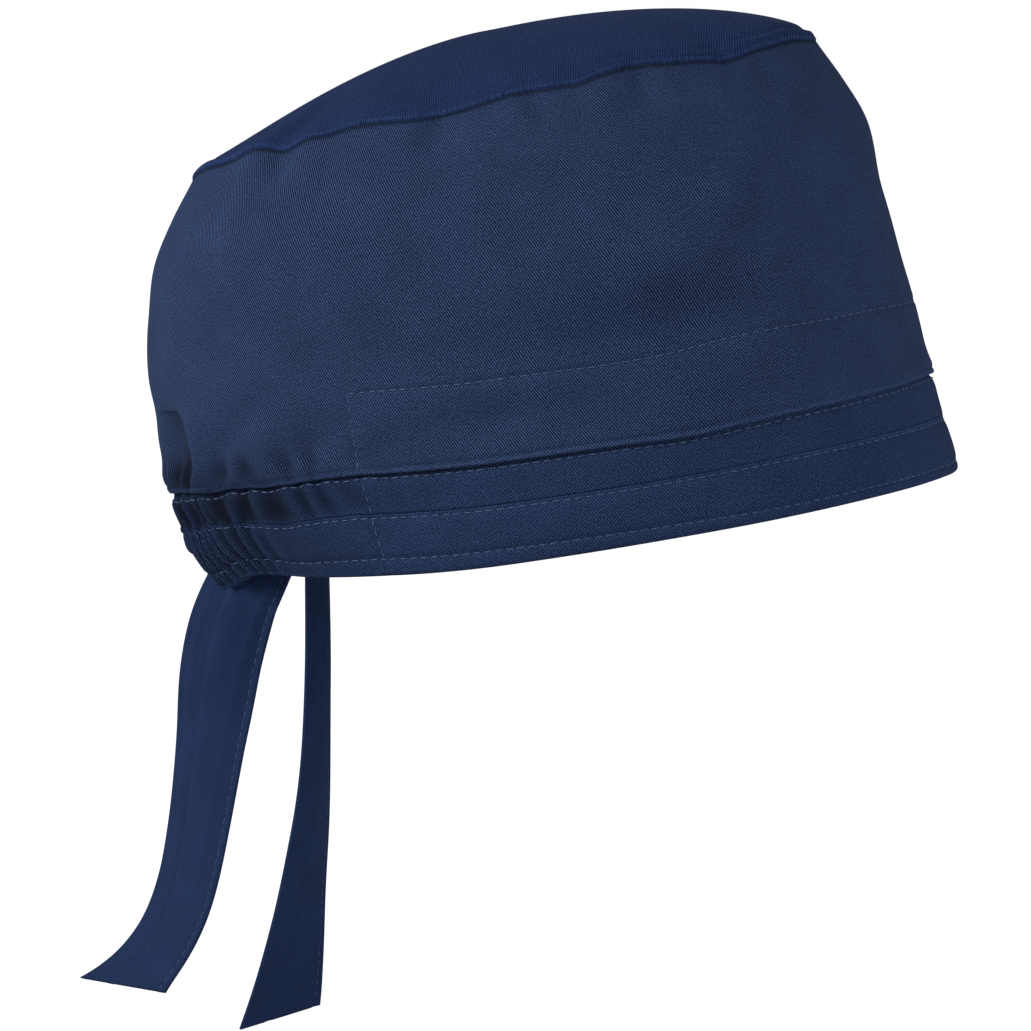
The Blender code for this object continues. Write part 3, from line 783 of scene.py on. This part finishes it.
def stitches(name, paths, material):
    """Rows of stitches as one mesh: evenly spaced along each path, each a small rounded thread whose
    half width at t from -1 to 1 along it is width / 2 * sqrt(1 - t**4)."""
    points = []
    t = np.array([-0.97, -0.7, 0.0, 0.7, 0.97])
    turn = np.linspace(0, 2 * math.pi, STITCH_SIDES, endpoint=False)
    girth = STITCH_WIDTH / 2 * np.sqrt(1 - t**4)
    for path, normals in paths:
        run = np.concatenate([[0], np.cumsum(np.linalg.norm(np.diff(path, axis=0), axis=-1))])
        centre = np.arange(STITCH_PITCH / 2, run[-1], STITCH_PITCH)
        ends = [
            np.stack([np.interp(centre + step, run, path[:, k]) for k in range(3)], axis=-1)
            for step in (-STITCH_LENGTH / 2, STITCH_LENGTH / 2)
        ]
        out = np.stack([np.interp(centre, run, normals[:, k]) for k in range(3)], axis=-1)
        along = (ends[1] - ends[0]) / 2
        across = np.cross(out, along)
        across /= np.linalg.norm(across, axis=-1, keepdims=True)
        middle = (ends[0] + ends[1]) / 2 + out * STITCH_LIFT
        spine = middle[:, None, None] + along[:, None, None] * t[None, :, None, None]
        round_ = across[:, None, None] * np.cos(turn)[None, None, :, None]
        round_ = round_ + STITCH_FLAT * out[:, None, None] * np.sin(turn)[None, None, :, None]
        points.append((spine + girth[None, :, None, None] * round_).reshape(-1, 3))
    total = np.concatenate(points)
    count = len(total) // (len(t) * len(turn))
    base = np.arange(count)[:, None, None] * len(t) * len(turn)
    ring, step = np.arange(len(t) - 1)[None, :, None], np.arange(len(turn))[None, None, :]
    beside = (step + 1) % len(turn)
    here, above = base + ring * STITCH_SIDES, base + (ring + 1) * STITCH_SIDES
    corners = [here + step, here + beside, above + beside, above + step]
    quads = np.stack(np.broadcast_arrays(*corners), axis=-1).reshape(-1, 4)
    side = np.arange(STITCH_SIDES)
    lids = [base[:, 0] + side[::-1], base[:, 0] + (len(t) - 1) * STITCH_SIDES + side]
    faces = quads.tolist() + lids[0].tolist() + lids[1].tolist()
    order = np.concatenate([quads.ravel(), lids[0].ravel(), lids[1].ravel()])
    return mesh_object(name, total, faces, total[order][:, :2], material)


def row_path(row):
    """A stitch row's path round the cap, from one end of its reach to the other."""
    reach = math.radians(row.reach)
    angle = np.linspace(-reach, reach, ROW_STEPS)
    return cap_path(angle, np.full_like(angle, row.level))


def upright_path(side, low, high, out=0.0):
    """The upright stitch row at the end of the brow row, on one side, between two levels."""
    level = np.linspace(low, high, UPRIGHT_STEPS)
    angle = np.full_like(level, side * math.radians(BROW_ROW.reach))
    if low >= FOLD_LEVEL - FOLD_LAP:
        out = foot_stand(angle, level)
    return cap_path(angle, level, out)


def thread(name, colour):
    """Matt polyester thread with a fine twist: darker bands by noise in its object coordinates."""
    material = bpy.data.materials.new(name)
    material.use_nodes = True
    tree = material.node_tree
    shader = tree.nodes["Principled BSDF"]
    place = add_node(tree, "ShaderNodeTexCoord").outputs["Object"]
    noise = add_node(tree, "ShaderNodeTexNoise", {"Vector": place, "Scale": THREAD_SCALE, "Detail": 1.0})
    span = {"From Min": 0.3, "From Max": 0.7, "To Min": 0.75, "To Max": 1.25}
    tone = add_node(tree, "ShaderNodeMapRange", {"Value": noise.outputs["Fac"], **span})
    dyed = add_node(tree, "ShaderNodeVectorMath", {0: colour, "Scale": tone.outputs[0]}, operation="SCALE")
    tree.links.new(dyed.outputs[0], shader.inputs["Base Color"])
    shader.inputs["Roughness"].default_value = 0.6
    return material


wall_cloth = twill("wall_twill", (0.0265, 0.0465, 0.1130))
wall = make_side_wall(wall_cloth)
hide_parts("side_wall")
blue_thread = thread("blue_thread", (0.058, 0.098, 0.198))
wall_paths = [row_path(BROW_ROW)]
wall_paths += [upright_path(side, FOLD_LEVEL - 0.001, BROW_ROW.level) for side in (-1, 1)]
wall_stitches = stitches("wall_stitches", wall_paths, blue_thread)

# Top panel
# The shallow domed top, one oval of the same twill. Its edge is rolled under with the wall's along
# the seam, which stands up as a thin ridge and puckers where the stitches draw it.
DOME_RISE = 0.0225
TOP_CLOTH = 0.0013
RIM_ROLL = 0.0003
RIM_CLOTH = 0.0007
RIM_LAP = 0.0006
# RIM_LIGHT is how much lighter the painted highlight on the rim's roll makes the cloth.
RIM_LIGHT = 0.45
RIM_LIGHT_TURN = 0.5
RIM_LIGHT_SPREAD = 0.4
TOP_LEAN = math.radians(86)
DOME_STEPS = 72
RIDGE_HEIGHT = 0.00060
RIDGE_WIDTH = 0.0016
RIDGE_IN = 0.0006
RIM_GROOVE_IN = 0.0026
RIM_GROOVE = 0.00060
Slope = namedtuple("Slope", "front back")
DOME_SLOPE = Slope(0.70, 1.22)


def make_crown_top(material):
    """The dome: rise * (1 - share**2)**slope over the seam's ring, with a ridge and a groove just
    inside the rim, closed by an inner face one cloth lower and by its middle point. The pressed rim
    laps the wall's edge, and a thin line round its roll carries a painted highlight, RIM_LIGHT lighter."""
    angles = column_angles()
    level = np.full(COLUMNS, TOP_LEVEL)
    rim = cap_point(angles, level, detail=0.0)
    puckers = cap_point(angles, level) - rim
    ends = rim[[np.argmax(rim[:, 0]), np.argmin(rim[:, 0])]]
    middle = ends.mean(axis=0)
    ahead = 0.5 + 0.5 * np.cos(angles)
    slope = DOME_SLOPE.back + (DOME_SLOPE.front - DOME_SLOPE.back) * ahead
    share = np.sin(np.linspace(1.0, 0.0, DOME_STEPS + 1)[:-1] * math.pi / 2)[:, None]
    inward = (1 - share) * np.linalg.norm(rim - middle, axis=-1)
    outer = middle + share[..., None] * (rim - middle) + share[..., None] ** SEAM_FADE * puckers
    outer[..., 2] += TOP_CLOTH + (DOME_RISE - TOP_CLOTH) * (1 - share**2) ** slope
    outer[..., 2] -= (TOP_CLOTH - RIM_CLOTH) * np.exp(-((inward / RIDGE_WIDTH) ** 2))
    outer[..., 2] += RIDGE_HEIGHT * np.exp(-(((inward - RIDGE_IN) / RIDGE_WIDTH * 2) ** 2))
    outer[..., 2] -= RIM_GROOVE * np.exp(-(((inward - RIM_GROOVE_IN) / RIDGE_WIDTH * 1.6) ** 2))
    inner = outer[::6] - [0, 0, TOP_CLOTH]
    low = rim + puckers - [0, 0, RIM_LAP]
    outward = (rim - middle) / np.linalg.norm(rim - middle, axis=-1, keepdims=True)
    turns = np.linspace(-math.pi / 2, math.pi / 2, 7)[1:-1]
    half = (outer[0] - low) / 2
    edge = (outer[0] + low) / 2
    roll = np.stack([edge + half * math.sin(t) + outward * RIM_ROLL * math.cos(t) for t in turns])
    inner[0] = low
    rows = np.concatenate([inner[::-1], roll, outer])
    tips = middle + np.array([[0, 0, DOME_RISE - TOP_CLOTH], [0, 0, DOME_RISE]])
    # A painted highlight along the rim's roll, centred RIM_LIGHT_TURN round it.
    lit = RIM_LIGHT * np.exp(-(((turns - RIM_LIGHT_TURN) / RIM_LIGHT_SPREAD) ** 2))
    shades = [np.zeros(inner.shape[:2]), np.tile(-lit[:, None], COLUMNS), np.zeros(outer.shape[:2])]
    return cloth_mesh("top_cloth", rows, material, False, tips, np.concatenate(shades))


# The top's twill is coloured darker than the wall's: painted shade for the top, which the light reaches
# less.
top_cloth = twill("top_twill", (0.0155, 0.0315, 0.0980), 0.45, 0.40, TOP_LEAN)
top = make_crown_top(top_cloth)
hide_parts("crown_top")

# Band strip
# The upper strip of the band, one turned length of twill that comes out from under the wall's
# folded foot and is topstitched to the channel below. It gathers softly toward the nape.
STRIP_CLOTH = 0.0013
EDGE_LAP = 0.0012
FOOT_SINK_RUN = 0.0008
EDGE_SINK_RUN = 0.0006


def make_band_strip(material):
    """The strip as a plain round shell from behind the channel's edge to the wall's foot, pressed
    in by FOOT_SINK at both."""
    foot = CHANNEL_HEIGHT + SEAM_GAP
    levels = spaced([foot - EDGE_LAP, foot, FOLD_LEVEL - FOLD_LAP, FOLD_LEVEL], [6, 26, 3])
    sink = np.clip((levels - FOOT_ROW.level) / FOOT_SINK_RUN, 0, 1)
    sink = -FOOT_SINK * (sink + np.clip((foot - levels) / EDGE_SINK_RUN, 0, 1))
    outer = round_grid(levels, sink)
    inner = round_grid(levels[::5], sink[::5] - STRIP_CLOTH)
    # Painted shade toward the nape and between the ribs, from shade().
    shades = shade(column_angles()[None, :], levels[:, None])
    return cloth_mesh("strip_cloth", np.concatenate([outer, inner[::-1]]), material, True, shades=shades)


band_cloth = twill("band_twill", (0.0215, 0.0410, 0.1060), 0.80, 0.55)
strip = make_band_strip(band_cloth)
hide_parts("band_strip")
strip_paths = [row_path(FOOT_ROW)]
strip_paths += [upright_path(side, CHANNEL_HEIGHT, FOOT_ROW.level) for side in (-1, 1)]
strip_stitches = stitches("strip_stitches", strip_paths, blue_thread)

# Tie channel
# The lower strip, folded double into a tunnel that carries the ties. Its hem is a soft roll, and
# the ties draw it into a tight bunch of ribs on either side of the nape.
CHANNEL_CLOTH = 0.0026
CHANNEL_PROUD = 0.0004
HEM_ROUND = 0.0011
HEM_RUN = 0.0055
EDGE_RUN = 0.002
CHANNEL_SHARES = (0.00, 0.12, 0.50, 1.00)
CHANNEL_STANDS = (-0.35, 0.00, 1.00, 0.00)


def make_tie_channel(material):
    """The tunnel: a round shell whose face stands out by a smooth curve through CHANNEL_STANDS."""
    levels = spaced([HEM_ROUND, HEM_RUN, CHANNEL_HEIGHT - EDGE_RUN, CHANNEL_HEIGHT], [14, 14, 8])
    stand = CHANNEL_PROUD * smooth_curve(CHANNEL_SHARES, CHANNEL_STANDS, levels / CHANNEL_HEIGHT)
    outer = round_grid(levels, stand)
    inner = round_grid(levels[::5], stand[::5] - CHANNEL_CLOTH)
    roll = rolled_rows(inner[0], outer[0], 7)
    rows = np.concatenate([outer, inner[::-1], roll])
    top = levels[:, None] - CHANNEL_HEIGHT
    # Painted shade from shade(), and a painted highlight along the channel's top edge.
    shades = shade(column_angles()[None, :], levels[:, None])
    shades = shades - EDGE_LIGHT * np.exp(-((top / EDGE_WIDTH) ** 2))
    return cloth_mesh("channel_cloth", rows, material, True, shades=shades)


channel = make_tie_channel(band_cloth)
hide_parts("tie_channel")
channel_paths = [row_path(MIDDLE_ROW), row_path(HEM_ROW)]
channel_paths += [upright_path(side, HEM_ROW.level, CHANNEL_HEIGHT, CHANNEL_PROUD) for side in (-1, 1)]
channel_stitches = stitches("channel_stitches", channel_paths, blue_thread)

# Ties
# Two tapes of the same twill, folded and stitched along one edge, that leave the channel at the
# back and hang free. The near one swings back at its end and is 4 mm longer than in the CAD model.
RIGHT_TIE_LENGTH = 0.1190
LEFT_TIE_LENGTH = 0.1370
TIE_WIDTH = 0.0240
TIE_CLOTH = 0.0014
TIE_CREASE = 0.0012
TIE_INSET = 0.0025
TIE_TUCK = 0.0125
HEM_SAMPLES = 13
RIGHT_TIE_SLANT = math.radians(44)
LEFT_TIE_SLANT = math.radians(24)
END_FADE = 8
CREASE_FADE = 0.5
TIE_STEPS = 150
TIE_STRANDS = 28
TIE_ROW_END = 0.99
PRESS_LINE = 0.00045
PRESS_STRAND = 0.15
EDGE_STRAND = -0.42
TIE_GROOVE_WIDTH = 0.022
TIE_FOLDS = 0.0005
TIE_FOLD_WIDTH = 0.06
TIE_FOLD_LINES = ((0.16, -0.24), (-0.13, 0.30))
Bend = namedtuple("Bend", "run swing turn width")
RIGHT_TIE_COURSE = (
    Bend(0.00, 25, 12, 0.96),
    Bend(0.08, 18, 9, 1.00),
    Bend(0.20, 10, 10, 1.00),
    Bend(0.38, 8, 24, 1.00),
    Bend(0.54, 9, 31, 1.00),
    Bend(0.66, 12, 34, 1.00),
    Bend(0.76, 20, 37, 1.00),
    Bend(0.87, 34, 44, 1.00),
    Bend(1.00, 52, 54, 1.00),
)
LEFT_TIE_COURSE = (
    Bend(0.00, -2, -88, 0.90),
    Bend(0.25, 1, -88, 1.00),
    Bend(0.45, 4, -84, 1.00),
    Bend(0.60, 8, -77, 1.00),
    Bend(0.75, 9, -68, 1.00),
    Bend(0.88, 11, -55, 1.00),
    Bend(1.00, 15, -40, 1.00),
)


def tie_frame(side, length, end_slant, course, strand, share):
    """Points of a tie's middle face at a strand across and a share along, and its face direction.

    The middle line sums the swings in the course from the tie's root in the channel, and the face
    turns about that line. The crease is TIE_CREASE * cos(2 pi strand) * sin(pi share**fade), with
    grooves at the pressed line and the edge's stitches and two soft folds that cross slowly."""
    runs = [bend.run for bend in course]
    run = np.clip((share * (length + TIE_TUCK) - TIE_TUCK) / length, 0, 1)
    swing = np.radians(smooth_curve(runs, [bend.swing for bend in course], run))
    turn = np.radians(smooth_curve(runs, [bend.turn for bend in course], run))
    width = TIE_WIDTH * smooth_curve(runs, [bend.width for bend in course], run)
    down = np.stack([-np.sin(swing), np.zeros_like(swing), -np.cos(swing)], axis=-1)
    steps = 0.5 * (down[1:] + down[:-1]) * (length + TIE_TUCK) * np.diff(share)[:, None]
    angle = math.pi - side * mouth_turn()
    root = tilted(cap_point(np.array([angle]), np.array([0.0]), out=-TIE_INSET))[0]
    nearby = angle + np.linspace(-1.0, 1.0, HEM_SAMPLES) * math.atan2(TIE_WIDTH, OPENING_WIDTH)
    hem = tilted(cap_point(nearby, np.zeros(HEM_SAMPLES), out=-CHANNEL_CLOTH))
    root[2] = hem[:, 2].min() - SEAM_GAP
    root = root - TIE_TUCK * down[0]
    middle = root + np.concatenate([np.zeros((1, 3)), np.cumsum(steps, axis=0)])
    face = np.stack([-np.sin(turn), -np.cos(turn), np.zeros_like(turn)], axis=-1)
    across = np.cross(down, face)
    across /= np.linalg.norm(across, axis=-1, keepdims=True)
    face = np.cross(across, down)
    rise = np.sin(math.pi * share**CREASE_FADE)[:, None]
    crease = TIE_CREASE * np.cos(2 * math.pi * strand) * rise
    for groove in (PRESS_STRAND, EDGE_STRAND):
        crease = crease - PRESS_LINE * np.exp(-(((strand - groove) / TIE_GROOVE_WIDTH) ** 2))
    for slow, place in TIE_FOLD_LINES:
        off = (strand - place - slow * (share[:, None] - 0.5)) / TIE_FOLD_WIDTH
        crease = crease + TIE_FOLDS * np.exp(-(off**2)) * rise
    points = middle[:, None] + across[:, None] * (width[:, None] * strand)[..., None]
    points = points + face[:, None] * crease[..., None]
    slant = math.tan(end_slant) * width[:, None] * strand * share[:, None] ** END_FADE
    return points + down[:, None] * slant[..., None], face


def make_tie(name, side, length, end_slant, course, material):
    """A tie as a closed tape: a loop of strands round its flat, round-edged section at each step."""
    share = np.linspace(0.0, 1.0, TIE_STEPS + 1)
    edge = TIE_CLOTH / 2 / TIE_WIDTH
    flat = np.linspace(-0.5 + edge, 0.5 - edge, TIE_STRANDS + 1)
    arc = np.linspace(0, math.pi, 6)[1:-1]
    bulge = 0.5 - edge + edge * np.sin(arc)
    strand = np.concatenate([flat, bulge, flat[::-1], -bulge])
    level = np.concatenate([np.ones(len(flat)), np.cos(arc), -np.ones(len(flat)), -np.cos(arc)])
    points, face = tie_frame(side, length, end_slant, course, strand[None, :], share)
    points = points + face[:, None] * (0.5 * TIE_CLOTH * level)[None, :, None]
    rows, columns = points.shape[:2]
    row, column = np.arange(rows - 1)[:, None], np.arange(columns)[None, :]
    beside = (column + 1) % columns
    corners = [row * columns + column, row * columns + beside]
    corners += [(row + 1) * columns + beside, (row + 1) * columns + column]
    faces = np.stack(np.broadcast_arrays(*corners), axis=-1).reshape(-1, 4)
    under = np.arange(columns)[::-1]
    over = np.arange(columns) + (rows - 1) * columns
    order = np.concatenate([faces.ravel(), under, over])
    spread = np.broadcast_to(strand[None, :] * TIE_WIDTH, (rows, columns))
    along = np.broadcast_to(-share[:, None] * length, (rows, columns))
    uv = np.stack([spread, along], axis=-1).reshape(-1, 2)[order]
    faces = faces.tolist() + [under.tolist(), over.tolist()]
    return mesh_object(name, points.reshape(-1, 3), faces, uv, material)


def tie_stitches(name, side, length, end_slant, course):
    """The row of small stitches along a tie's edge, on its outer face."""
    share = np.linspace(0.0, TIE_ROW_END, TIE_STEPS + 1)
    strand = np.array([[EDGE_STRAND]])
    points, face = tie_frame(side, length, end_slant, course, strand, share)
    path = points[:, 0] + face * TIE_CLOTH / 2
    return stitches(name, [(path, face)], tie_thread)


tie_cloth = twill("tie_twill", (0.0170, 0.0340, 0.0980), 0.08, 0.16)
tie_thread = thread("tie_thread", (0.034, 0.060, 0.140))
TIES = (
    ("right", -1, RIGHT_TIE_LENGTH, RIGHT_TIE_SLANT, RIGHT_TIE_COURSE),
    ("left", 1, LEFT_TIE_LENGTH, LEFT_TIE_SLANT, LEFT_TIE_COURSE),
)
for hand, side, length, end_slant, course in TIES:
    tie = make_tie(hand + "_tie_cloth", side, length, end_slant, course, tie_cloth)
    row = tie_stitches(hand + "_tie_stitches", side, length, end_slant, course)
    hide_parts("tie_" + hand)
